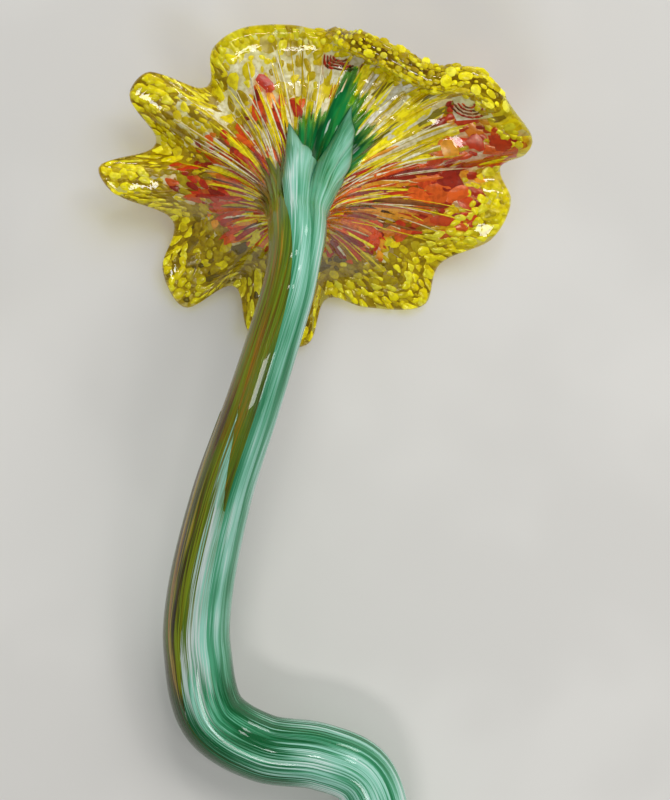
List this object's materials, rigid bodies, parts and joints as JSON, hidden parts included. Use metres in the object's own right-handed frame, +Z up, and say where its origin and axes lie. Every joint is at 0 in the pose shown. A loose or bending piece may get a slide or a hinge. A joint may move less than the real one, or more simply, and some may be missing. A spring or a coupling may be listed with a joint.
{
  "type": "glass flower",
  "caption": "Long-stemmed art-glass lily lying on its face: a ruffled clear bell with frit chips, mint sepals and trails fused along a solid curved stem.",
  "frame": {"origin": "on the table that the flower lies on, under the middle of its footprint", "axes": "+Z up from the table, +Y from the stem's end toward the blossom, +X to the right seen from above"},
  "size_m": [0.1244, 0.3732, 0.0725],
  "materials": {
    "bell_glass": "clear glass with a yellow cast, polished by fire",
    "core_glass": "olive glass, polished by fire, ground flat at the end",
    "calyx_glass": "dark green transparent glass",
    "mint_glass": "opaque mint glass with white and green streaks",
    "amber_glass": "amber and brown streaked glass",
    "olive_glass": "olive and yellow streaked glass",
    "white_glass": "opaque white glass with mint streaks",
    "grey_green_glass": "grey-green streaked glass",
    "yellow_frit": "melted yellow glass chips inside the bell's wall",
    "red_frit": "melted red and orange glass chips inside the bell's wall"
  },
  "bodies": {
    "root": {"blossom_bell": "bell_glass", "stem_core": "core_glass", "green_calyx": "calyx_glass", "left_sepal_trail": "mint_glass", "right_sepal_trail": "mint_glass", "under_right_trail": "mint_glass", "under_left_trail": "mint_glass", "amber_trail": "amber_glass", "olive_trail": "olive_glass", "white_trail": "white_glass", "outer_left_trail": "grey_green_glass"}
  },
  "joints": []
}
